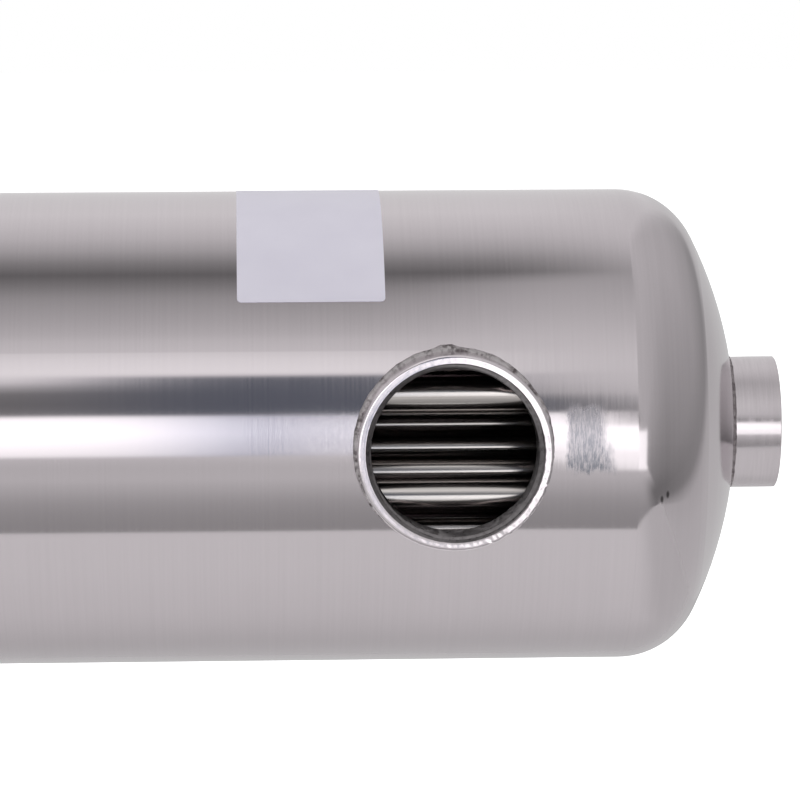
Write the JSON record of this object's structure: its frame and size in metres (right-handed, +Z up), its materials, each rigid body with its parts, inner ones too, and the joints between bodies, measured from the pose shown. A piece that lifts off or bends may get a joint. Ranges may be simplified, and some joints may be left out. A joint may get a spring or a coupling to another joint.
{
  "type": "pool heat exchanger",
  "caption": "Stainless shell-and-tube pool heat exchanger: a round barrel with domed ends, a straight tube bundle, threaded heating ports on its ends and threaded pool water ports on its side.",
  "frame": {"origin": "centre of the left heating port's mouth, on the barrel's axis", "axes": "+X along the barrel towards the right heating port, pool ports facing -Y, +Z up"},
  "size_m": [0.485, 0.144, 0.134],
  "materials": {
    "shell": "polished stainless sheet with fine marks round the barrel",
    "sockets": "turned stainless with a rough faced rim",
    "welds": "unpolished weld bead",
    "tubes": "bright drawn stainless tube",
    "tube_sheets": "plain drilled stainless plate"
  },
  "bodies": {
    "root": {"shell_barrel": "shell", "left_end_cap": "shell", "right_end_cap": "shell", "left_tube_sheet": "tube_sheets", "right_tube_sheet": "tube_sheets", "left_heating_port": "sockets", "right_heating_port": "sockets", "left_heating_port_weld": "welds", "right_heating_port_weld": "welds", "left_pool_port": "sockets", "right_pool_port": "sockets", "left_pool_port_weld": "welds", "right_pool_port_weld": "welds", "tube_1_1": "tubes", "tube_1_2": "tubes", "tube_1_3": "tubes", "tube_1_4": "tubes", "tube_1_5": "tubes", "tube_1_6": "tubes", "tube_1_7": "tubes", "tube_2_1": "tubes", "tube_2_2": "tubes", "tube_2_3": "tubes", "tube_2_4": "tubes", "tube_2_5": "tubes", "tube_2_6": "tubes", "tube_3_1": "tubes", "tube_3_2": "tubes", "tube_3_3": "tubes", "tube_3_4": "tubes", "tube_3_5": "tubes", "tube_4_1": "tubes", "tube_4_2": "tubes", "tube_4_3": "tubes", "tube_4_4": "tubes"}
  },
  "joints": []
}
